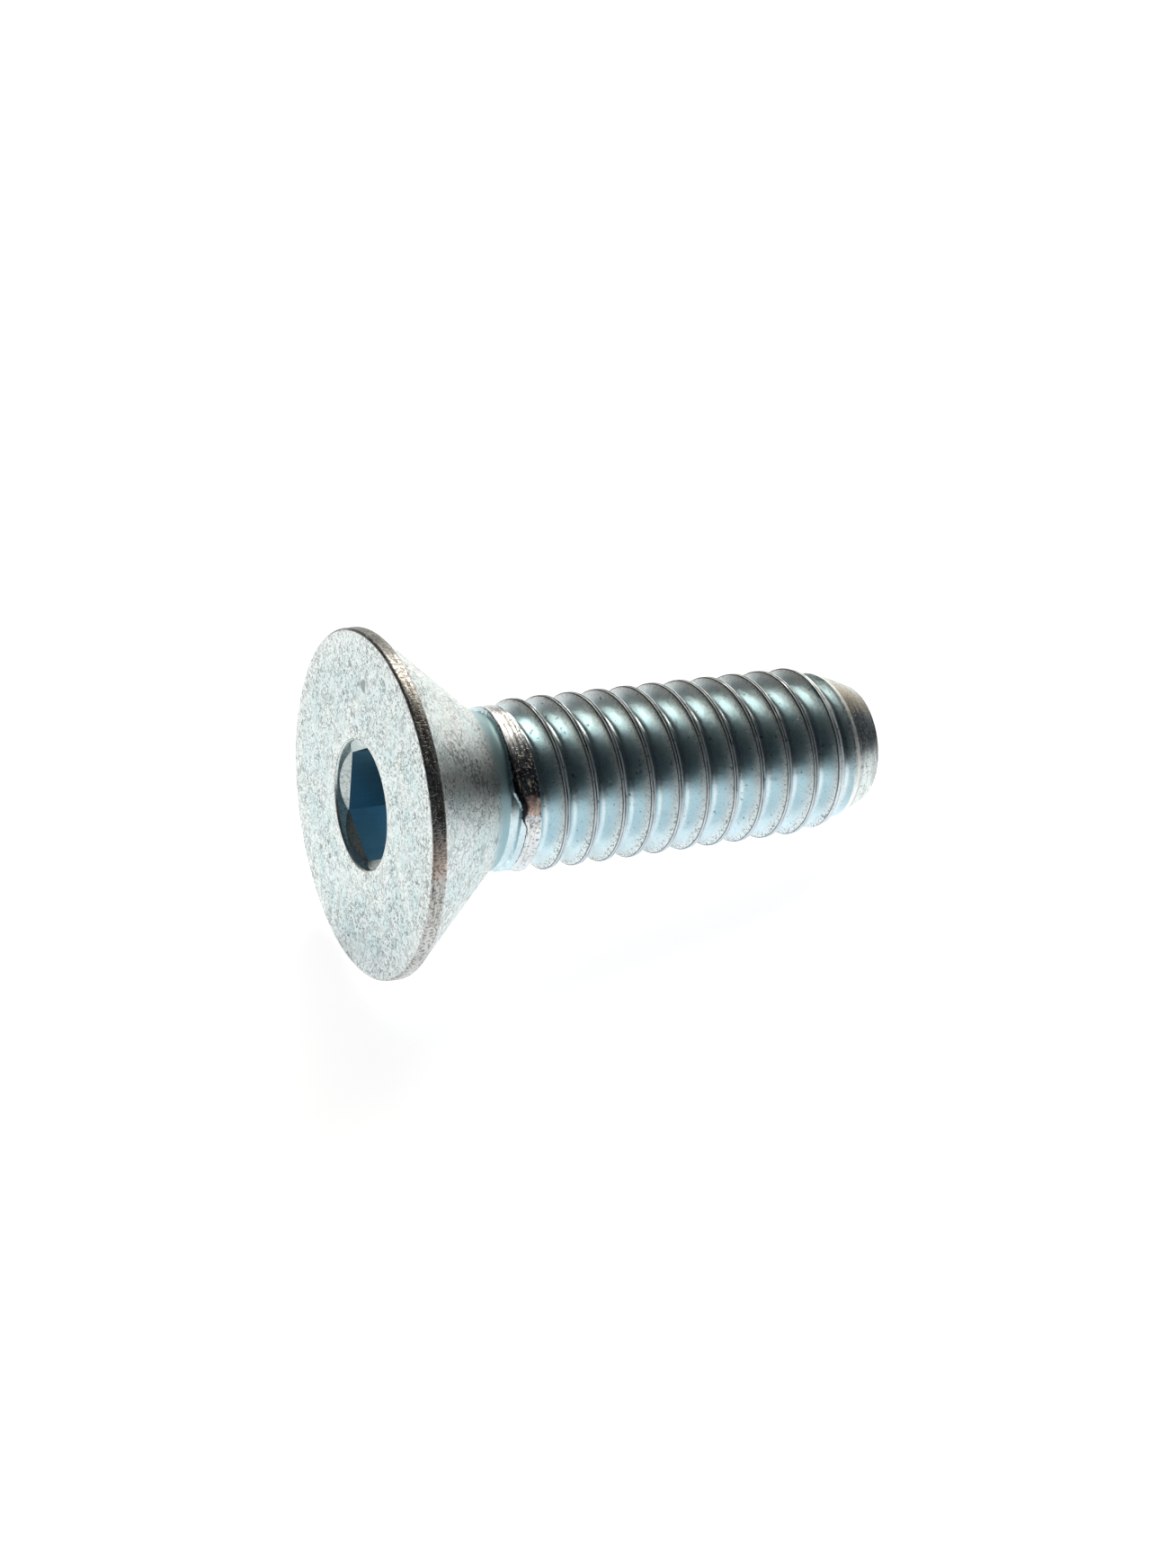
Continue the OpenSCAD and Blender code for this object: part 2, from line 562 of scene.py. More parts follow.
    def radius(self, co: Vector) -> float:
        """Work out where a vertex of the even helix belongs on the real thread.

        Args:
            co: The vertex on the even helix.

        Returns:
            Its new distance from the axis.
        """
        r, turn = radius_of(co), turn_of(co)
        low, high = self.strip_z(turn), self.shoulder_z(turn)
        neck = self.head.neck_radius(co.z)
        if co.z < low:
            return neck
        strip = max(neck, self.strip_r)
        body = min(self.lifted(co, r), self.land(co.z))
        on_strip = smooth((co.z - low) / self.strip_run)
        on_land = smooth((co.z - high) / self.shoulder_run)
        body = neck + (strip - neck) * on_strip + (body - strip) * on_land
        gutter = step(high - low, self.gutter_gap) * max(0.0, 1.0 - abs(co.z - high) / self.gutter_half)
        body = min(body - self.gutter_depth * gutter, self.envelope(co.z))
        if r > self.crest_r - self.wear_depth:
            for height, bends in self.wear:
                body += height * noise.noise(co * bends)
        return min(body, self.crest_r)

    def build(self, bm: BMesh) -> None:
        """Wind the thread, form its two ends and close the point.

        Args:
            bm: The mesh of the screw.
        """
        self.wind(bm)
        low = self.start_z + self.fine_gap
        fine = [e for e in bm.edges if all(low < v.co.z < self.fine_top for v in e.verts)]
        bmesh.ops.subdivide_edges(bm, edges=fine, cuts=1, use_grid_fill=True)
        for vert in bm.verts:
            set_radius(vert.co, self.radius(vert.co))
        for z, up in ((self.start_z, False), (self.length - self.end_round, True)):
            bmesh.ops.bisect_plane(
                bm,
                geom=bm.verts[:] + bm.edges[:] + bm.faces[:],
                plane_co=(0, 0, z),
                plane_no=(0, 0, 1),
                clear_inner=not up,
                clear_outer=up,
            )
        bmesh.ops.remove_doubles(bm, verts=bm.verts[:], dist=MERGE)
        self.close_point(bm)

    def wind(self, bm: BMesh) -> None:
        """Wind the even helix, one turn by spinning the profile and the others as its copies.

        Args:
            bm: The mesh of the screw.
        """
        middle = self.crest_z + self.first * self.pitch
        section = wire(bm, [(r, middle + at) for r, at in self.outline()], 0.0)
        bmesh.ops.spin(
            bm,
            geom=section,
            axis=(0, 0, 1),
            cent=(0, 0, 0),
            dvec=(0, 0, self.pitch / self.steps),
            angle=2 * math.pi,
            steps=self.steps,
        )
        turn = bm.verts[:] + bm.edges[:] + bm.faces[:]
        for count in range(1, self.turns):
            copy = bmesh.ops.duplicate(bm, geom=turn)["geom"]
            verts = [v for v in copy if isinstance(v, BMVert)]
            bmesh.ops.translate(bm, verts=verts, vec=(0, 0, self.pitch * count))
        bmesh.ops.remove_doubles(bm, verts=bm.verts[:], dist=MERGE)

    def end_outline(self) -> list[Point]:
        """Give the half section of the end, from the rounded edge to the dished middle.

        Returns:
            Radius and distance from the face of each corner after the cut.
        """
        cut_r = self.envelope(self.length - self.end_round)
        points = []
        for row in range(1, self.end_rows + 1):
            lean = math.pi / 2.0 * row / self.end_rows
            r = cut_r - self.end_round * (1.0 - math.cos(lean))
            points.append((r, self.length - self.end_round * (1.0 - math.sin(lean))))
        return points + [(r, self.length - depth) for r, depth in self.dish]

    def close_point(self, bm: BMesh) -> None:
        """Draw the end of the point in ring by ring and fill its middle.

        Args:
            bm: The mesh of the screw.
        """
        cut = self.length - self.end_round
        ring = [e for e in bm.edges if e.is_boundary and e.verts[0].co.z > cut - MERGE]
        for radius, z in self.end_outline():
            grown = bmesh.ops.extrude_edge_only(bm, edges=ring)["geom"]
            ring = [e for e in grown if isinstance(e, BMEdge) and e.is_boundary]
            for vert in {v for e in ring for v in e.verts}:
                set_radius(vert.co, radius)
                vert.co.z = z
        bmesh.ops.edgeloop_fill(bm, edges=ring)

    def region(self, co: Vector) -> Region:
        """Name the finish at a point of the thread.

        Args:
            co: Middle of a face.

        Returns:
            Its region.
        """
        r, turn = radius_of(co), turn_of(co)
        if co.z < self.strip_z(turn):
            return Region.CONE
        if r < self.point_r - self.end_round and co.z > self.length - self.taper_len:
            return Region.END
        past = self.past_edge(co, co)
        if round(self.turns_at(co)) >= self.last_crest and past < self.point_reach:
            return Region.POINT
        if co.z < self.rise_z + self.rise_run and abs(r - self.land(co.z)) < self.land_slack:
            return Region.RUNOUT if co.z > self.scuff_z(turn) else Region.FLANK
        return Region.CREST if past < self.crest_reach and co.z > self.rise_z else Region.FLANK

    def past_edge(self, middle: Vector, co: Vector) -> float:
        """Give how far a corner of a face is outside the edge of its crest.

        Args:
            middle: Middle of the face.
            co: The corner.

        Returns:
            The distance in millimetres, below 0 on the crest and on the plain end.
        """
        crest = round(self.turns_at(middle))
        off = co.z - self.crest_z - self.pitch * (crest + near_turn(middle, co) / 360.0)
        if crest > self.last_crest or (crest == self.last_crest and off > 0.0):
            return self.plain_edge
        return abs(off) - self.edge_half(co.z)

    def rolled(self, middle: Vector, co: Vector) -> Vector:
        """Give surface coordinates for a corner of a face of the thread.

        Args:
            middle: Middle of the face.
            co: The corner.

        Returns:
            Its way along the helix, its distance from the middle of the crest, and its distance
            outside the crest's edge, or in the run-out the part of the width of the black line of
            painted shade at the step.
        """
        turns = round(self.turns_at(middle)) + near_turn(middle, co) / 360.0
        off = co.z - self.crest_z - self.pitch * turns
        edge = self.past_edge(middle, co)
        turn = turn_of(co)
        if middle.z < self.scuff_z(turn_of(middle)):
            edge = self.pitch
        # In the run-out, the part of the width of the black line of painted shade at the step
        elif self.region(middle) is Region.RUNOUT:
            edge = (co.z - self.scuff_z(turn)) / self.step_shade_width(turn)
        return Vector((2.0 * math.pi * self.crest_r * turns, off, edge))


@dataclass(frozen=True)
class Grain:
    """Noise of a finish: grains in a millimetre, octaves, share of each finer one, and winding."""

    scale: float
    detail: float = 2.0
    rough: float = 0.5
    twist: float = 0.0


@dataclass(frozen=True)
class Hairline:
    """Thin winding marks that come and go in patches.

    The scale is in bends in a millimetre, the width is a share of the noise's range, and the amount
    says how much of the surface has marks, from 0 to 1.
    """

    scale: float
    width: float
    amount: float
    core: float = 0.4
    patch_scale: float = 0.45
    patch_stretch: Place = (1.0, 1.3, 0.9)
    patch_low: float = 0.62
    patch_gain: float = 0.3
    patch_high: float = 0.7


@dataclass(frozen=True)
class Tint:
    """Ragged spot of another colour on a land; some are stains, some painted shade and some painted
    reflections.
    """

    centre: Place
    size: float
    colour: Colour
    share: float = 1.0


class NodeBoard:
    """Nodes of one tree, with a short word for each step that the finishes and the studio need."""

    def __init__(self, tree: NodeTree) -> None:
        """Take the tree that holds the nodes."""
        self.tree = tree

    def put(self, kind: str, inputs: dict | None = None, **settings: object) -> Node:
        """Add a node.

        Args:
            kind: Type of the node.
            inputs: Values or sockets for its inputs, by name or number.
            settings: Properties of the node.

        Returns:
            The node.
        """
        node = self.tree.nodes.new(kind)
        for key, value in settings.items():
            setattr(node, key, value)
        for key, value in (inputs or {}).items():
            if isinstance(value, NodeSocket):
                self.tree.links.new(value, node.inputs[key])
            else:
                node.inputs[key].default_value = value
        return node

    def band(self, value: NodeSocket, span: Span, result: Span = (0.0, 1.0)) -> NodeSocket:
        """Give a smooth change over a span of a value.

        Args:
            value: The value.
            span: Where the change starts and ends.
            result: Results there.

        Returns:
            The result.
        """
        inputs = {"Value": value, "From Min": span[0], "From Max": span[1]}
        inputs |= {"To Min": result[0], "To Max": result[1]}
        node = self.put("ShaderNodeMapRange", inputs, interpolation_type="SMOOTHSTEP")
        return node.outputs["Result"]

    def calc(self, kind: Sum, a: NodeSocket | float, b: NodeSocket | float = 0.0) -> NodeSocket:
        """Give the result of one sum of two numbers."""
        return self.put("ShaderNodeMath", {0: a, 1: b}, operation=kind.value).outputs[0]

    def add(self, a: NodeSocket | float, b: NodeSocket | float) -> NodeSocket:
        """Give the sum of two numbers."""
        return self.calc(Sum.ADD, a, b)

    def less(self, a: NodeSocket | float, b: NodeSocket | float) -> NodeSocket:
        """Give the first number less the second."""
        return self.calc(Sum.LESS, a, b)

    def times(self, a: NodeSocket | float, b: NodeSocket | float) -> NodeSocket:
        """Give the product of two numbers."""
        return self.calc(Sum.TIMES, a, b)

    def most(self, *values: NodeSocket) -> NodeSocket:
        """Give the greatest of several values.

        Args:
            values: The values.

        Returns:
            The greatest.
        """
        result = values[0]
        for value in values[1:]:
            result = self.calc(Sum.MOST, result, value)
        return result

    def blend(self, share: NodeSocket, a: NodeSocket | Colour, b: NodeSocket | Colour) -> NodeSocket:
        """Give a colour between two, by how much of the second one shows."""
        return self.put("ShaderNodeMix", {0: share, 6: a, 7: b}, data_type="RGBA").outputs[2]


class NodeSheet(NodeBoard):
    """Nodes of one metal material of the screw, laid out by a finish."""

    # Bends in a millimetre of an edge that strays, and of the middle of a crest
    EDGE_BENDS = 2.6
    CREST_BENDS = 0.9
    STRAY_DETAIL = 3.0
    # Share of a spot that is solid or strays, and the most that its edge strays
    SPOT_CORE = 0.6
    SPOT_STRAY = 0.5

    def __init__(self, name: str, lie: Lie) -> None:
        """Start a metal material.

        Args:
            name: Name of the material.
            lie: How the screw lies, for coordinates along its axis.
        """
        self.material = bpy.data.materials.new(name)
        self.material.use_nodes = True
        super().__init__(self.material.node_tree)
        self.shader = self.tree.nodes["Principled BSDF"]
        self.shader.inputs["Metallic"].default_value = 1.0
        mapping = {
            "Vector": self.put("ShaderNodeTexCoord").outputs["Object"],
            "Location": lie.turn().inverted() @ -lie.shift(),
            "Rotation": (0.0, -math.radians(90.0 + lie.tilt), 0.0),
            "Scale": (1.0 / MM, 1.0 / MM, 1.0 / MM),
        }
        self.space = self.put("ShaderNodeMapping", mapping).outputs["Vector"]

    def axis(self, name: str) -> NodeSocket:
        """Give one of the screw's own coordinates, in millimetres."""
        return self.put("ShaderNodeSeparateXYZ", {0: self.space}).outputs[name]

    def stretched(self, scale: Place) -> NodeSocket:
        """Give coordinates along the screw with another scale on each axis."""
        return self.put("ShaderNodeMapping", {"Vector": self.space, "Scale": scale}).outputs["Vector"]

    def rolled(self, scale: Span = (1.0, 1.0)) -> NodeSocket:
        """Give coordinates that follow the surface.

        Args:
            scale: Scale along the rolling and across it.

        Returns:
            The coordinates.
        """
        node = self.put("ShaderNodeAttribute", attribute_name="rolled", attribute_type="GEOMETRY")
        inputs = {"Vector": node.outputs["Vector"], "Scale": (*scale, 1.0)}
        return self.put("ShaderNodeMapping", inputs).outputs["Vector"]

    def grain(self, grain: Grain, where: NodeSocket | None = None) -> NodeSocket:
        """Give a noise between 0 and 1.

        Args:
            grain: Scale and kind of the noise.
            where: Coordinates, or the screw's own if left out.

        Returns:
            The noise.
        """
        inputs = {
            "Vector": self.space if where is None else where,
            "Scale": grain.scale,
            "Detail": grain.detail,
            "Roughness": grain.rough,
            "Distortion": grain.twist,
        }
        return self.put("ShaderNodeTexNoise", inputs).outputs["Fac"]

    def strayed(self, value: NodeSocket, wander: float, bends: float = EDGE_BENDS) -> NodeSocket:
        """Give a distance that strays along the surface.

        Args:
            value: The distance in millimetres.
            wander: How far it strays, in millimetres.
            bends: Bends in a millimetre.

        Returns:
            The new distance.
        """
        off = self.less(self.grain(Grain(bends, self.STRAY_DETAIL)), 0.5)
        return self.add(value, self.times(off, 2.0 * wander))

    def across(self, wander: float) -> NodeSocket:
        """Give the distance from the middle of a crest, with a middle that strays."""
        off = self.put("ShaderNodeSeparateXYZ", {0: self.rolled()}).outputs["Y"]
        return self.calc(Sum.SIZE, self.strayed(off, wander, self.CREST_BENDS))

    def past_edge(self, wander: float) -> NodeSocket:
        """Give the distance outside a crest's edge, below 0 on the crest, with an edge that strays."""
        past = self.put("ShaderNodeSeparateXYZ", {0: self.rolled()}).outputs["Z"]
        return self.strayed(past, wander)

    def spot(self, centre: Place, size: float) -> NodeSocket:
        """Give a ragged spot on the surface.

        Args:
            centre: Place of the spot on the screw, in millimetres.
            size: Its radius.

        Returns:
            1 in the spot and 0 away from it.
        """
        gap = self.put("ShaderNodeVectorMath", {0: self.space, 1: centre}, operation="DISTANCE")
        core = size * self.SPOT_CORE
        edge = self.strayed(gap.outputs["Value"], min(core, self.SPOT_STRAY))
        return self.band(edge, (core, size), FALLING)

    def hairlines(self, hair: Hairline) -> NodeSocket:
        """Give thin winding marks that come and go.

        Args:
            hair: Scale, width and amount of the marks.

        Returns:
            1 on a mark and 0 elsewhere.
        """
        ridge = self.calc(Sum.SIZE, self.less(self.grain(Grain(hair.scale, 1.0)), 0.5))
        line = self.band(ridge, (hair.width * hair.core, hair.width), FALLING)
        broad = self.grain(Grain(hair.scale * hair.patch_scale, 1.0), self.stretched(hair.patch_stretch))
        low = hair.patch_low - hair.amount * hair.patch_gain
        return self.times(line, self.band(broad, (low, hair.patch_high)))

    def roughness(self, value: NodeSocket, gloss: float, spread: float) -> NodeSocket:
        """Give a roughness that a noise spreads about a middle value."""
        return self.add(self.times(value, spread), gloss - spread / 2.0)

    def finish(
        self, colour: NodeSocket, roughness: NodeSocket, height: NodeSocket, depth: float
    ) -> Material:
        """Connect the shader.

        Args:
            colour: Base colour.
            roughness: Roughness.
            height: Height of the surface, from 0 to 1.
            depth: What a height of 1 measures, in millimetres.

        Returns:
            The material.
        """
        bump = self.put("ShaderNodeBump", {"Height": height, "Strength": 1.0, "Distance": depth * MM})
        self.tree.links.new(colour, self.shader.inputs["Base Color"])
        self.tree.links.new(roughness, self.shader.inputs["Roughness"])
        self.tree.links.new(bump.outputs["Normal"], self.shader.inputs["Normal"])
        return self.material


class Finish(Protocol):
    """A finish, which can make its material."""

    def material(self, lie: Lie) -> Material:
        """Make the material of a screw that lies this way."""


@dataclass(frozen=True)
class PlatedGrain:
    """Dull, speckled zinc plate over forged steel, as on the face and the cone."""

    name: str
    colour: Colour = (0.69, 0.84, 0.86, 1.0)
    pale: Colour = (0.81, 0.89, 0.89, 1.0)
    speck: Colour = (0.20, 0.23, 0.24, 1.0)
    plain: Colour = (0.42, 0.62, 0.68, 1.0)
    gloss: float = 0.36
    gloss_spread: float = 0.06
    gloss_grain: Grain = Grain(4.0, 3.0)
    depth: float = 0.012
    relief: Grain = Grain(5.0, 3.0, 0.6)
    dark_depth: float = 0.6
    tone_grain: Grain = Grain(0.8, 3.0)
    tone_span: Span = (0.38, 0.66)
    speck_grain: Grain = Grain(5.6, 2.0, 0.62, 1.4)
    speck_span: Span = (0.50, 0.62)
    crowd_grain: Grain = Grain(0.55)
    crowd_span: Span = (0.35, 0.62)
    crowd_share: Span = (0.5, 0.95)
    pit_grain: Grain = Grain(3.6, 1.0)
    pit_span: Span = (0.69, 0.75)
    pit_share: float = 0.75
    hair: Hairline = Hairline(3.4, 0.05, 0.75)
    crack: Hairline = Hairline(1.4, 0.026, 0.45)
    crack_share: float = 1.3
    mark_share: float = 0.62
    dents: tuple[Place, ...] = ()
    dent_size: float = 0.36
    dent_share: float = 0.85
    calm: Span | None = None
    calm_dull: float = 0.14
    halo: Span | None = None
    halo_grain: Grain = Grain(1.5)
    halo_stray: float = 0.8
    halo_inside: float = 1.0
    halo_outside: Span = (-0.7, 0.4)

    def material(self, lie: Lie) -> Material:
        """Make the material.

        Args:
            lie: How the screw lies.

        Returns:
            The material.
        """
        sheet = NodeSheet(self.name, lie)
        dark = self.marks(sheet)
        whiter = sheet.band(sheet.grain(self.tone_grain), self.tone_span)
        if self.halo is not None:
            whiter = sheet.most(whiter, self.near_edges(sheet, self.halo))
        tone = sheet.blend(whiter, self.colour, self.pale)
        height = sheet.grain(self.relief)
        roughness = sheet.roughness(sheet.grain(self.gloss_grain), self.gloss, self.gloss_spread)
        if self.calm is not None:
            grainy = sheet.band(sheet.axis("Z"), self.calm, FALLING)
            dark = sheet.times(dark, grainy)
            height = sheet.times(height, grainy)
            tone = sheet.blend(grainy, self.plain, tone)
            roughness = sheet.add(roughness, sheet.times(sheet.less(1.0, grainy), self.calm_dull))
        colour = sheet.blend(dark, tone, self.speck)
        height = sheet.less(height, sheet.times(dark, self.dark_depth))
        return sheet.finish(colour, roughness, height, self.depth)

    def marks(self, sheet: NodeSheet) -> NodeSocket:
        """Give the dark marks: crowded specks, hairlines, pits and dents.

        Args:
            sheet: Nodes of the material.

        Returns:
            How dark the surface is, from 0 to 1.
        """
        specks = sheet.band(sheet.grain(self.speck_grain), self.speck_span)
        crowd = sheet.band(sheet.grain(self.crowd_grain), self.crowd_span, self.crowd_share)
        pits = sheet.band(sheet.grain(self.pit_grain), self.pit_span)
        cracks = sheet.times(sheet.hairlines(self.crack), self.crack_share)
        lines = sheet.most(sheet.hairlines(self.hair), cracks)
        dark = sheet.most(
            sheet.times(specks, crowd),
            sheet.times(lines, self.mark_share),
            sheet.times(pits, self.pit_share),
        )
        for dent in self.dents:
            dark = sheet.most(dark, sheet.times(sheet.spot(dent, self.dent_size), self.dent_share))
        return dark

    def near_edges(self, sheet: NodeSheet, halo: Span) -> NodeSocket:
        """Find the paler plate close to the mouth of the socket and to the rim.

        Args:
            sheet: Nodes of the material.
            halo: Radius of the mouth's edge and of the rim's.

        Returns:
            1 close to the two edges and 0 between them.
        """
        squares = [sheet.calc(Sum.POWER, sheet.axis(name), 2.0) for name in ("X", "Y")]
        stray = sheet.times(sheet.grain(self.halo_grain), self.halo_stray)
        radius = sheet.add(sheet.calc(Sum.ROOT, sheet.add(*squares)), stray)
        inner, outer = halo
        start, end = self.halo_outside
        return sheet.most(
            sheet.band(radius, (inner, inner + self.halo_inside), FALLING),
            sheet.band(radius, (outer + start, outer + end)),
        )


@dataclass(frozen=True)
class RolledZinc:
    """Bright blue zinc on a rolled flank, paler and pitted towards the crest."""

    name: str
    colour: Colour = (0.67, 0.83, 0.89, 1.0)
    worn: Colour = (0.84, 0.90, 0.91, 1.0)
    pit: Colour = (0.16, 0.19, 0.20, 1.0)
    gloss: float = 0.30
    gloss_spread: float = 0.04
    depth: float = 0.009
    fine_grain: Grain = Grain(10.0, 2.0, 0.6)
    fine_depth: float = 0.6
    haze_span: Span = (0.5, 0.75)
    haze_share: float = 0.25
    streak_grain: Grain = Grain(1.0, 3.0)
    streak_scale: Span = (1.6, 9.0)
    streak_span: Span = (0.5, 0.8)
    streak_share: float = 0.5
    ripple_grain: Grain = Grain(2.6, 3.0, 0.6)
    lip_stray: float = 0.09
    lip_span: Span = (0.05, 0.28)
    lip_dull: float = 0.12
    pit_grain: Grain = Grain(4.0, 1.5)
    pit_span: Span = (0.68, 0.74)
    pit_share: float = 0.7
    lip_pit_span: Span = (0.52, 0.61)
    lip_pit_share: float = 0.9
    below_span: Span = (-1.0, 1.5)
    below_share: Span = (0.45, 1.0)
    dark_depth: float = 0.8
    dents: tuple[Place, ...] = ()
    dent_size: float = 0.24
    dent_share: float = 0.8

    def material(self, lie: Lie) -> Material:
        """Make the material.

        Args:
            lie: How the screw lies.

        Returns:
            The material.
        """
        sheet = NodeSheet(self.name, lie)
        streaks = sheet.grain(self.streak_grain, sheet.rolled(self.streak_scale))
        fine = sheet.grain(self.fine_grain)
        lip = sheet.band(sheet.past_edge(self.lip_stray), self.lip_span, FALLING)
        pits = sheet.band(sheet.grain(self.pit_grain), self.pit_span)
        below = sheet.band(sheet.axis("X"), self.below_span, self.below_share)
        lip_pits = sheet.times(sheet.times(lip, below), sheet.band(fine, self.lip_pit_span))
        dark = sheet.most(
            sheet.times(pits, self.pit_share),
            sheet.times(lip_pits, self.lip_pit_share),
            sheet.times(sheet.band(fine, self.haze_span), self.haze_share),
        )
        for dent in self.dents:
            dark = sheet.most(dark, sheet.times(sheet.spot(dent, self.dent_size), self.dent_share))
        worn = sheet.most(lip, sheet.times(sheet.band(streaks, self.streak_span), self.streak_share))
        colour = sheet.blend(dark, sheet.blend(worn, self.colour, self.worn), self.pit)
        roughness = sheet.roughness(streaks, self.gloss, self.gloss_spread)
        roughness = sheet.add(roughness, sheet.times(lip, self.lip_dull))
        ripple = sheet.add(sheet.grain(self.ripple_grain), sheet.times(streaks, self.streak_share))
        height = sheet.add(sheet.times(fine, self.fine_depth), ripple)
        height = sheet.less(height, sheet.times(dark, self.dark_depth))
        return sheet.finish(colour, roughness, height, self.depth)


@dataclass(frozen=True)
class RolledCrest:
    """Crest of a rolled thread: two bright lips with a dark seam between them, painted shade along its
    edges, and its marks and edge shade fading towards the floor as a painted reflection of the floor.
    """

    name: str
    colour: Colour = (0.82, 0.90, 0.96, 1.0)
    # Colour of the seam's marks and nicks, and of the painted edge shade
    dark: Colour = (0.04, 0.045, 0.05, 1.0)
    zinc: Colour = (0.65, 0.82, 0.88, 1.0)
    gloss: float = 0.55
    gloss_spread: float = 0.2
    flank_gloss: float = 0.2
    depth: float = 0.008
    fine_grain: Grain = Grain(9.0, 2.0, 0.6)
    seam_stray: float = 0.03
    seam_span: Span = (0.015, 0.04)
    edge_stray: float = 0.012
    edge_shade_span: Span = (-0.01, 0.012)
    flank_span: Span = (0.03, 0.05)
    break_grain: Grain = Grain(1.0)
    break_scale: Span = (0.6, 1.5)
    break_span: Span = (0.40, 0.56)
    break_share: Span = (0.3, 1.0)
    nick_grain: Grain = Grain(4.5)
    nick_span: Span = (0.62, 0.70)
    nick_share: float = 0.6
    # Towards the floor (+x) the marks and the painted edge shade fade, as a painted reflection of the floor
    below_span: Span = (-2.2, 0.8)
    marks_under_painted_sheen: Span = (1.0, 0.4)
    painted_edge_shade: Span = (0.92, 0.7)

    def material(self, lie: Lie) -> Material:
        """Make the material.

        Args:
            lie: How the screw lies.

        Returns:
            The material.
        """
        sheet = NodeSheet(self.name, lie)
        fine = sheet.grain(self.fine_grain)
        seam = sheet.band(sheet.across(self.seam_stray), self.seam_span, FALLING)
        past = sheet.past_edge(self.edge_stray)
        # Dark lines just outside each edge of the crest: painted shade
        edge = sheet.band(past, self.edge_shade_span)
        flank = sheet.band(past, self.flank_span)
        breaks = sheet.grain(self.break_grain, sheet.rolled(self.break_scale))
        broken = sheet.times(seam, sheet.band(breaks, self.break_span, self.break_share))
        nicks = sheet.band(sheet.grain(self.nick_grain), self.nick_span)
        marks = sheet.most(broken, sheet.times(nicks, self.nick_share))
        # The marks and the painted edge shade fade towards the floor: a painted reflection of the floor
        low = sheet.axis("X")
        dark = sheet.most(
            sheet.times(marks, sheet.band(low, self.below_span, self.marks_under_painted_sheen)),
            sheet.times(edge, sheet.band(low, self.below_span, self.painted_edge_shade)),
        )
        colour = sheet.blend(flank, sheet.blend(dark, self.colour, self.dark), self.zinc)
        roughness = sheet.roughness(fine, self.gloss, self.gloss_spread)
        roughness = sheet.less(roughness, sheet.times(flank, self.flank_gloss))
        return sheet.finish(colour, roughness, sheet.less(fine, dark), self.depth)


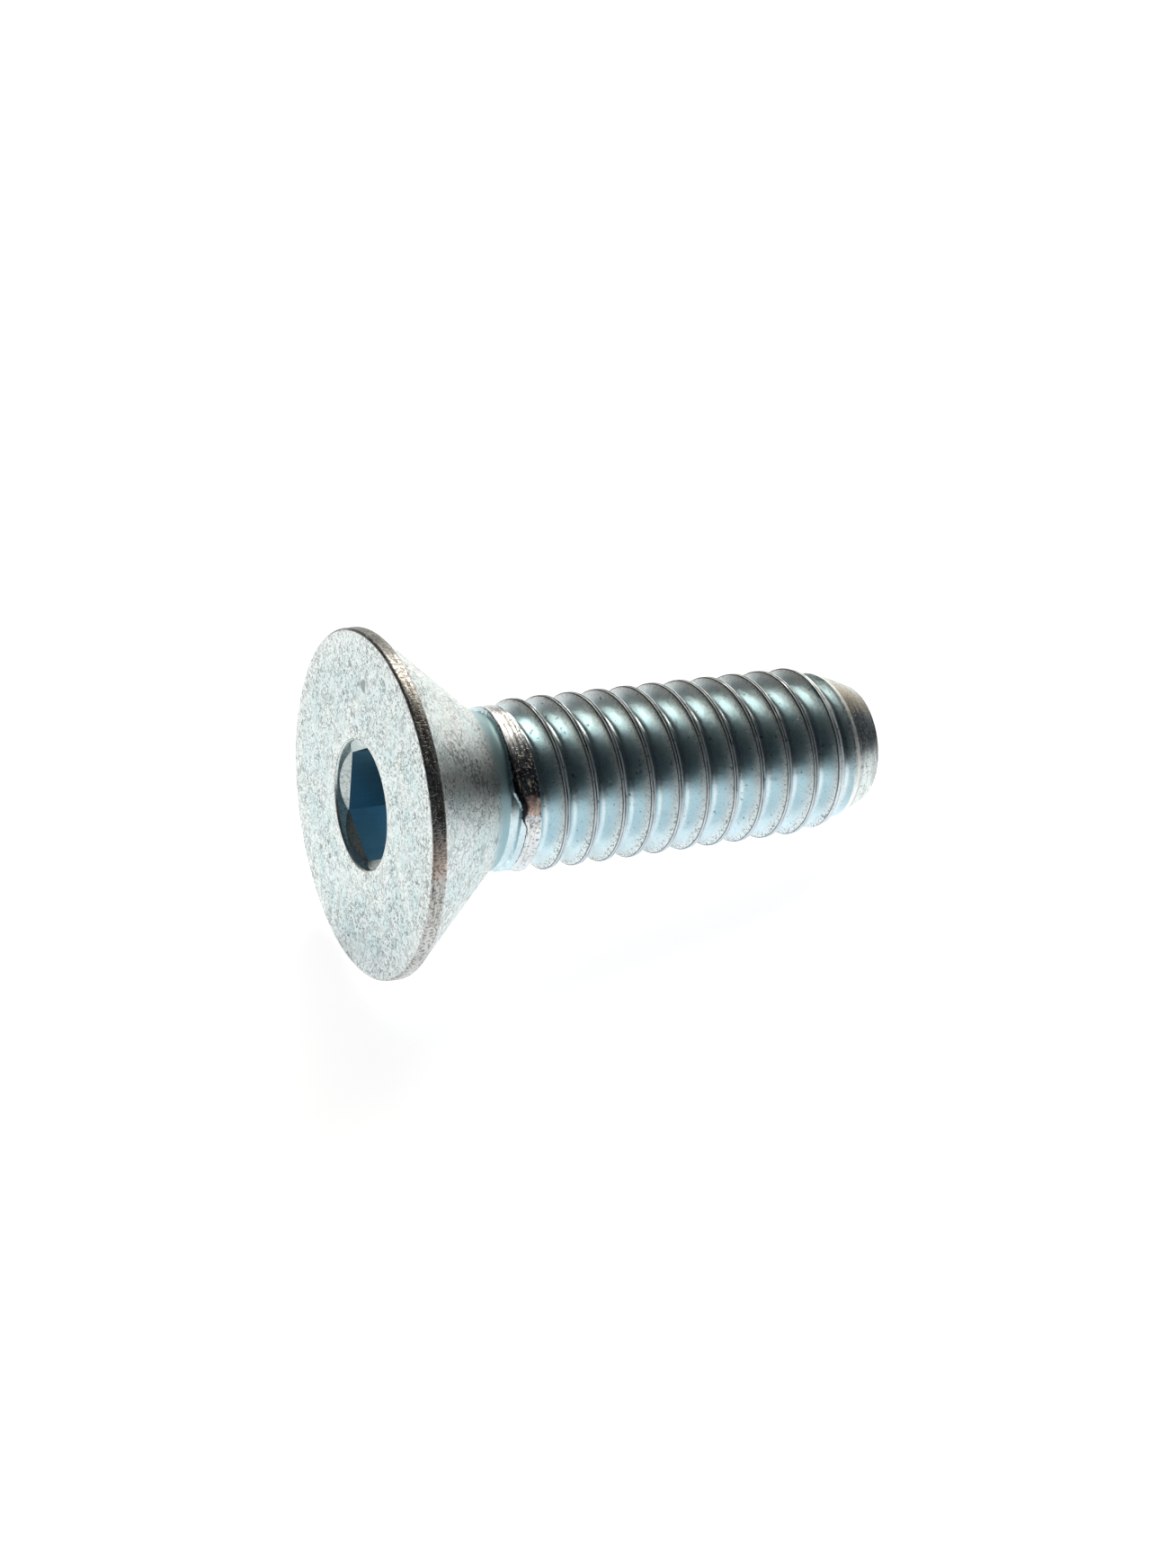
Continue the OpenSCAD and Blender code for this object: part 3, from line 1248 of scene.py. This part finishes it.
@dataclass(frozen=True)
class ScuffedLand:
    """Bare-looking land with marks along its length and dark nicks, as on the rim and the run-out."""

    name: str
    colour: Colour = (0.72, 0.70, 0.67, 1.0)
    stain: Colour = (0.42, 0.34, 0.31, 1.0)
    dark: Colour = (0.12, 0.11, 0.10, 1.0)
    step_shade_black: Colour = (0.02, 0.02, 0.025, 1.0)
    bright: Colour = (0.92, 0.90, 0.86, 1.0)
    zinc: Colour = (0.65, 0.82, 0.88, 1.0)
    lip: Colour | None = None
    stains_and_painted_light: tuple[Tint, ...] = ()
    gloss: float = 0.32
    gloss_spread: float = 0.06
    depth: float = 0.012
    stained: float = 0.7
    stain_grain: Grain = Grain(2.6, 4.0, 0.7)
    stain_span: Span = (0.42, 0.66)
    streaked: float = 0.75
    streak_grain: Grain = Grain(1.0, 4.0, 0.6)
    streak_scale: Span = (0.45, 4.5)
    streak_span: Span = (0.46, 0.6)
    fine_grain: Grain = Grain(8.0, 2.0, 0.6)
    fine_depth: float = 0.5
    nicked: float = 0.53
    nick_range: float = 0.11
    nick_share: float = 0.7
    mark_grain: Grain = Grain(1.0)
    crossed: float = 0.0
    cross_scale: Span = (7.0, 1.2)
    cross_span: Span = (0.64, 0.72)
    flecks: float = 0.3
    fleck_scale: Span = (1.6, 7.0)
    fleck_span: Span = (0.58, 0.68)
    fleck_dull: float = 0.55
    # Black line of painted shade at the step where the land starts: its strength, stray and span
    seam: float = 0.0
    seam_stray: float = 0.2
    seam_span: Span = (0.5, 1.0)
    lip_stray: float = 0.03
    lip_span: Span = (-0.3, -0.25)
    lip_dull: float = 0.2
    flank_span: Span = (-0.01, 0.03)

    def material(self, lie: Lie) -> Material:
        """Make the material.

        Args:
            lie: How the screw lies.

        Returns:
            The material.
        """
        sheet = NodeSheet(self.name, lie)
        streaks = sheet.grain(self.streak_grain, sheet.rolled(self.streak_scale))
        blotch = sheet.grain(self.stain_grain)
        fine = sheet.grain(self.fine_grain)
        nicks = sheet.times(sheet.band(fine, (self.nicked, self.nicked + self.nick_range)), self.nick_share)
        stains = sheet.times(sheet.band(blotch, self.stain_span), self.stained)
        tone = sheet.blend(stains, self.colour, self.stain)
        dark_streaks = sheet.times(sheet.band(streaks, self.streak_span), self.streaked)
        tone = sheet.blend(dark_streaks, tone, self.dark)
        # Spots of stain, of painted shade and of painted reflection, each blended over the tone
        for tint in self.stains_and_painted_light:
            share = sheet.times(sheet.spot(tint.centre, tint.size), tint.share)
            tone = sheet.blend(share, tone, tint.colour)
        scratches = self.rolled_marks(sheet, self.cross_scale, self.cross_span, self.crossed)
        flecks = self.rolled_marks(sheet, self.fleck_scale, self.fleck_span, self.flecks)
        colour = sheet.blend(nicks, sheet.blend(scratches, tone, self.bright), self.dark)
        colour = sheet.blend(flecks, colour, self.bright)
        roughness = sheet.roughness(blotch, self.gloss, self.gloss_spread)
        roughness = sheet.add(roughness, sheet.times(flecks, self.fleck_dull))
        # Black line of painted shade at the step where the land starts
        if self.seam > 0.0:
            line = sheet.band(sheet.past_edge(self.seam_stray), self.seam_span, (self.seam, 0.0))
            colour = sheet.blend(line, colour, self.step_shade_black)
        if self.lip is not None:
            past = sheet.past_edge(self.lip_stray)
            lip = sheet.band(past, self.lip_span)
            flank = sheet.band(past, self.flank_span)
            colour = sheet.blend(flank, sheet.blend(lip, colour, self.lip), self.zinc)
            roughness = sheet.add(roughness, sheet.times(sheet.less(lip, flank), self.lip_dull))
        height = sheet.add(sheet.less(streaks, nicks), sheet.times(fine, self.fine_depth))
        return sheet.finish(colour, roughness, height, self.depth)

    def rolled_marks(self, sheet: NodeSheet, scale: Span, span: Span, share: float) -> NodeSocket:
        """Give bright marks that lie along the rolling or across it.

        Args:
            sheet: Nodes of the material.
            scale: Scale along the rolling and across it.
            span: Part of the noise's range over which a mark comes up.
            share: How bright the marks are.

        Returns:
            The share on a mark and 0 elsewhere.
        """
        noise_part = sheet.grain(self.mark_grain, sheet.rolled(scale))
        return sheet.times(sheet.band(noise_part, span), share)


@dataclass(frozen=True)
class DeepZinc:
    """Dark blue zinc on the pressed walls of the socket."""

    name: str
    colour: Colour = (0.44, 0.67, 0.79, 1.0)
    dull: Colour = (0.42, 0.63, 0.75, 1.0)
    gloss: float = 0.32
    gloss_spread: float = 0.1
    depth: float = 0.002
    drawn_grain: Grain = Grain(1.0, 3.0)
    drawn_scale: Place = (7.0, 7.0, 0.8)
    drawn_span: Span = (0.4, 0.65)
    fine_grain: Grain = Grain(6.0)

    def material(self, lie: Lie) -> Material:
        """Make the material.

        Args:
            lie: How the screw lies.

        Returns:
            The material.
        """
        sheet = NodeSheet(self.name, lie)
        drawn = sheet.grain(self.drawn_grain, sheet.stretched(self.drawn_scale))
        colour = sheet.blend(sheet.band(drawn, self.drawn_span), self.colour, self.dull)
        roughness = sheet.roughness(drawn, self.gloss, self.gloss_spread)
        height = sheet.add(drawn, sheet.grain(self.fine_grain))
        return sheet.finish(colour, roughness, height, self.depth)


@dataclass
class FlatHeadScrew:
    """The whole screw: head, socket, thread and point in one closed mesh."""

    lie: Lie = field(default_factory=Lie)
    head: Head = field(default_factory=Head)
    thread: Thread = field(init=False)
    node: str = "flat_head_screw"
    crease: float = 32.0

    def __post_init__(self) -> None:
        """Hang the thread on the head's neck."""
        self.thread = Thread(self.head)

    def finishes(self) -> dict[Region, Finish]:
        """Give the finish of each region.

        Returns:
            The finishes by region.
        """
        return {
            Region.FACE: PlatedGrain("plated_face", halo=(3.4, 7.2), dents=((-5.25, 1.24, 0.0),)),
            Region.RIM: ScuffedLand(
                "scuffed_rim",
                colour=(0.60, 0.62, 0.62, 1.0),
                stain=(0.46, 0.38, 0.34, 1.0),
                stains_and_painted_light=(
                    # Painted shade: a dark patch on the rim's top, where it mirrors the dark room
                    Tint((-7.46, 1.7, 0.3), 2.6, (0.13, 0.14, 0.15, 1.0), 0.9),
                    Tint((-2.11, -7.35, 0.3), 1.1, (0.62, 0.53, 0.49, 1.0)),
                    # Painted reflection: the rim's lower side, towards the floor, made paler
                    Tint((4.9, -5.85, 0.3), 6.0, (0.82, 0.84, 0.83, 1.0), 0.6),
                ),
                stained=0.3,
                crossed=0.5,
                nicked=0.5,
                gloss=0.38,
            ),
            Region.CONE: PlatedGrain(
                "plated_cone",
                colour=(0.78, 0.90, 0.90, 1.0),
                pale=(0.88, 0.93, 0.92, 1.0),
                gloss=0.32,
                depth=0.008,
                calm=(4.5, 5.2),
                crack=Hairline(1.4, 0.042, 0.9),
            ),
            Region.SOCKET: DeepZinc("socket_zinc"),
            Region.RUNOUT: ScuffedLand(
                "runout_land",
                colour=(0.78, 0.86, 0.94, 1.0),
                stain=(0.68, 0.66, 0.68, 1.0),
                bright=(0.96, 0.91, 0.80, 1.0),
                stains_and_painted_light=(
                    # Painted shade: a dark patch where the land mirrors the dark room
                    Tint((-2.35, -2.8, 6.1), 1.5, (0.16, 0.14, 0.14, 1.0), 0.65),
                    # Painted reflection: the land's lower side, towards the floor, made whitish
                    Tint((1.4, -3.4, 6.9), 2.6, (0.92, 0.96, 0.98, 1.0), 0.65),
                    Tint((-1.3, -3.41, 6.5), 0.55, (0.84, 0.62, 0.55, 1.0)),
                ),
                stained=0.2,
                streaked=0.85,
                streak_scale=(0.5, 6.0),
                nicked=0.57,
                # Black line of painted shade at the step onto the land
                seam=0.97,
                flecks=0.9,
                depth=0.02,
            ),
            Region.FLANK: RolledZinc("rolled_zinc", dents=((0.88, -3.18, 20.8), (1.75, -3.03, 21.1))),
            Region.CREST: RolledCrest("rolled_crest"),
            Region.POINT: ScuffedLand(
                "point_zinc",
                colour=(0.72, 0.83, 0.85, 1.0),
                stain=(0.50, 0.47, 0.40, 1.0),
                lip=(0.94, 0.97, 0.97, 1.0),
                stains_and_painted_light=(
                    Tint((-3.05, -0.82, 23.8), 1.3, (0.62, 0.56, 0.45, 1.0), 0.8),
                    # Painted shade: a dark patch where the point's land mirrors the dark room
                    Tint((-2.2, -2.2, 23.9), 1.2, (0.22, 0.28, 0.34, 1.0), 0.8),
                ),
                stained=0.2,
                streaked=0.35,
                nicked=0.56,
            ),
            Region.LEAD: PlatedGrain(
                "socket_lead",
                colour=(0.74, 0.85, 0.85, 1.0),
                speck=(0.46, 0.52, 0.53, 1.0),
                gloss=0.37,
                depth=0.006,
            ),
            Region.END: PlatedGrain("plated_end", gloss=0.4, depth=0.015),
        }

    def build(self) -> Object:
        """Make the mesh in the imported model's frame.

        Returns:
            The screw's object.
        """
        bm = bmesh.new()
        self.thread.build(bm)
        self.head.build(bm)
        bmesh.ops.bridge_loops(bm, edges=[e for e in bm.edges if e.is_boundary])
        bmesh.ops.recalc_face_normals(bm, faces=bm.faces[:])
        self.mark(bm)
        log.info("open edges left: %d", sum(not e.is_manifold for e in bm.edges))
        bmesh.ops.transform(bm, matrix=self.lie.matrix(), verts=bm.verts[:])
        mesh = bpy.data.meshes.new("screw_body")
        bm.to_mesh(mesh)
        bm.free()
        mesh.set_sharp_from_angle(angle=math.radians(self.crease))
        piece = bpy.data.objects.new("screw_body", mesh)
        bpy.context.scene.collection.objects.link(piece)
        return piece

    def mark(self, bm: BMesh) -> None:
        """Give each face its region, and each of its corners the coordinates that follow the surface.

        Args:
            bm: The mesh of the screw, in the screw's own frame.
        """
        split = (self.head.join_z + self.thread.start_z) / 2.0
        rolled = bm.loops.layers.float_vector.new("rolled")
        for face in bm.faces:
            face.smooth = True
            middle = face.calc_center_median()
            part = self.thread if middle.z > split else self.head
            face.material_index = part.region(middle).value
            for loop in face.loops:
                loop[rolled] = part.rolled(middle, loop.vert.co)

    def dress(self, piece: Object) -> None:
        """Give the screw its finishes and its place in the model.

        Args:
            piece: The screw's object.
        """
        finishes = self.finishes()
        for region in Region:
            piece.data.materials.append(finishes[region].material(self.lie))
        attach(piece, "root")
        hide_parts(self.node)


@dataclass
class Studio:
    """White table, dark room, soft lamp and the camera.

    The fields from table_right to under_shade say where the table is darker to mirrored rays.
    """

    table_size: float = 3.0
    table_paint: Colour = (0.85, 0.85, 0.85, 1.0)
    table_glow: float = 0.9
    table_white: Span = (0.08, 0.3)
    table_right: Span = (0.016, 0.044)
    table_behind: Span = (0.004, 0.036)
    table_far: Span = (0.025, 0.090)
    far_shade: float = 0.75
    table_under: Span = (0.0002, 0.0016)
    table_ends: Span = (0.012, 0.016)
    under_shade: float = 0.3
    room_dark: Colour = (0.016, 0.019, 0.022, 1.0)
    room_back: Colour = (0.135, 0.13, 0.12, 1.0)
    back_span: Span = (0.25, 0.85)
    horizon: Span = (-0.01, 0.03)
    lamp_place: Place = (0.285, 0.345, 0.335)
    lamp_size: Span = (0.48, 0.42)
    lamp_power: float = 2.0
    lamp_colour: Place = (1.0, 0.92, 0.80)
    eye: Place = (-0.040612, -0.081475, 0.073220)
    aim: Place = (-0.000926, 0.0, 0.005212)
    roll: float = 0.118
    sensor: float = 36.0
    lens: float = 77.04
    clip_start: float = 0.001

    def build_table(self) -> None:
        """Lay the white table, which keeps the screw's shadow."""
        bm = bmesh.new()
        bmesh.ops.create_grid(bm, x_segments=1, y_segments=1, size=self.table_size / 2.0)
        mesh = bpy.data.meshes.new("table")
        bm.to_mesh(mesh)
        bm.free()
        floor = bpy.data.objects.new("table", mesh)
        bpy.context.scene.collection.objects.link(floor)
        mesh.materials.append(self.table_finish())

    def table_finish(self) -> Material:
        """Make the table's white.

        Returns:
            The material.
        """
        material = bpy.data.materials.new("table_white")
        material.use_nodes = True
        board = NodeBoard(material.node_tree)
        board.tree.nodes.clear()
        paint = board.put("ShaderNodeBsdfDiffuse", {"Color": self.table_paint}).outputs[0]
        glow = board.put("ShaderNodeEmission", {"Strength": self.glow(board)}).outputs[0]
        both = board.put("ShaderNodeAddShader", {0: paint, 1: glow}).outputs[0]
        shade = board.put("ShaderNodeEmission", {"Strength": 0.0}).outputs[0]
        mix = board.put("ShaderNodeMixShader", {0: self.shaded(board), 1: both, 2: shade}).outputs[0]
        board.put("ShaderNodeOutputMaterial", {"Surface": mix})
        return material

    def glow(self, board: NodeBoard) -> NodeSocket:
        """Make the table white to camera, glossy and transmission rays, and fully so far away.

        Args:
            board: Nodes of the table's material.

        Returns:
            The strength of the white for any ray.
        """
        path = board.put("ShaderNodeLightPath").outputs
        seen = board.most(path["Is Camera Ray"], path["Is Glossy Ray"], path["Is Transmission Ray"])
        white = board.band(self.distance(board), self.table_white, (self.table_glow, 1.0))
        return board.times(seen, white)

    def distance(self, board: NodeBoard) -> NodeSocket:
        """Give the distance of a place on the table from its middle."""
        place = board.put("ShaderNodeTexCoord").outputs["Object"]
        return board.put("ShaderNodeVectorMath", {0: place}, operation="LENGTH").outputs["Value"]

    def shaded(self, board: NodeBoard) -> NodeSocket:
        """Shade the table under the screw, on its right and far in front, for what the metal mirrors.

        Args:
            board: Nodes of the table's material.

        Returns:
            How much of the table's light a ray misses, from 0 to 1.
        """
        place = board.put("ShaderNodeTexCoord").outputs["Object"]
        axes = board.put("ShaderNodeSeparateXYZ", {0: place}).outputs
        right = board.band(axes["X"], self.table_right)
        far = board.band(self.distance(board), self.table_far, (0.0, self.far_shade))
        away = board.times(board.most(right, far), board.band(axes["Y"], self.table_behind, FALLING))
        beside = board.band(board.calc(Sum.SIZE, axes["Y"]), self.table_under, (self.under_shade, 0.0))
        along = board.band(board.calc(Sum.SIZE, axes["X"]), self.table_ends, FALLING)
        shade = board.most(away, board.times(beside, along))
        return board.times(board.put("ShaderNodeLightPath").outputs["Is Glossy Ray"], shade)

    def build_world(self) -> None:
        """Make the white backdrop and the dark room above it that the metal shows."""
        world = bpy.data.worlds.new("studio")
        bpy.context.scene.world = world
        world.use_nodes = True
        board = NodeBoard(world.node_tree)
        board.tree.nodes.clear()
        way = board.put("ShaderNodeTexCoord").outputs["Generated"]
        axes = board.put("ShaderNodeSeparateXYZ", {0: way}).outputs
        back = board.band(axes["Y"], self.back_span)
        low = board.band(axes["Z"], self.horizon, FALLING)
        colour = board.blend(low, board.blend(back, self.room_dark, self.room_back), WHITE)
        room = board.put("ShaderNodeBackground", {"Color": colour}).outputs[0]
        white = board.put("ShaderNodeBackground", {"Color": WHITE}).outputs[0]
        seen = board.put("ShaderNodeLightPath").outputs["Is Camera Ray"]
        mix = board.put("ShaderNodeMixShader", {0: seen, 1: room, 2: white}).outputs[0]
        board.put("ShaderNodeOutputWorld", {"Surface": mix})

    def build_lamp(self) -> None:
        """Hang the soft lamp behind the screw."""
        data = bpy.data.lights.new("soft_lamp", "AREA")
        data.shape = "ELLIPSE"
        data.color = self.lamp_colour
        data.size, data.size_y = self.lamp_size
        data.energy = self.lamp_power
        lamp = bpy.data.objects.new("soft_lamp", data)
        lamp.location = self.lamp_place
        lamp.rotation_euler = (-Vector(self.lamp_place)).to_track_quat("-Z", "Y").to_euler()
        bpy.context.scene.collection.objects.link(lamp)

    def build_camera(self) -> None:
        """Set the camera up at the photograph's angle."""
        data = bpy.data.cameras.new("camera")
        data.sensor_fit = "HORIZONTAL"
        data.sensor_width = self.sensor
        data.lens = self.lens
        data.clip_start = self.clip_start
        camera = bpy.data.objects.new("camera", data)
        camera.location = self.eye
        look = (Vector(self.aim) - Vector(self.eye)).to_track_quat("-Z", "Y").to_matrix()
        camera.rotation_euler = (look @ Matrix.Rotation(math.radians(self.roll), 3, "Z")).to_euler()
        bpy.context.scene.collection.objects.link(camera)
        bpy.context.scene.camera = camera

    def build(self) -> None:
        """Make everything round the screw."""
        self.build_table()
        self.build_world()
        self.build_lamp()
        self.build_camera()
        bpy.context.scene.view_settings.view_transform = "Standard"


def main() -> None:
    """Load the frame, build the screw and its surroundings, and report each piece."""
    logging.basicConfig(level=logging.INFO, format="%(name)s: %(message)s")
    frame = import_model()
    log.info("nodes in the frame: %s", ", ".join(sorted(frame["nodes"])))
    screw = FlatHeadScrew()
    piece = screw.build()
    screw.dress(piece)
    log.info("%s: %d faces", piece.name, len(piece.data.polygons))
    Studio().build()


if __name__ == "__main__":
    main()
